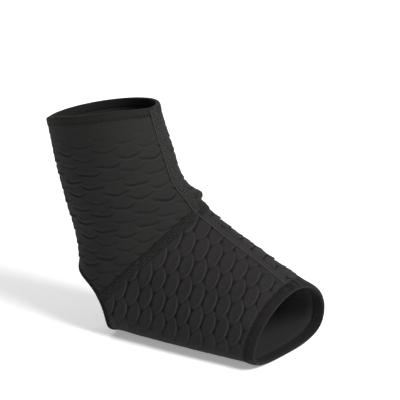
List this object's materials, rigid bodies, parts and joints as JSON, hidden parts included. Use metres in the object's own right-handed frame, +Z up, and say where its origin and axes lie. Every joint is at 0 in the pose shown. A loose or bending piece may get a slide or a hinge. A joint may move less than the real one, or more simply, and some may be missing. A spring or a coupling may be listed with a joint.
{
  "type": "ankle brace",
  "caption": "Pull-on knitted ankle sleeve with open heel and toe, embossed scale pattern, front seam, diagonal ankle seams and stitched hems.",
  "frame": {"origin": "the ankle's own axis, in the middle of the sleeve's hollow where the wearer's ankle holds it, 62 mm above the sole and 38 mm in front of the heel line", "axes": "+X to the toes along the sole, +Y to the inner side of the ankle, +Z up from the sole to the leg"},
  "size_m": [0.2112, 0.092, 0.176],
  "materials": {
    "knit": "matte charcoal fine knit with an embossed scale pattern",
    "stitching": "matte charcoal flat seam stitching",
    "edging": "matte near-black overlocked edge"
  },
  "bodies": {
    "root": {"top_hem": "knit", "shaft_panel": "knit", "foot_panel": "knit", "toe_hem": "knit", "heel_binding": "edging", "front_seam": "stitching", "instep_seam": "stitching", "ankle_seam_lateral": "stitching", "ankle_seam_medial": "stitching"}
  },
  "joints": []
}
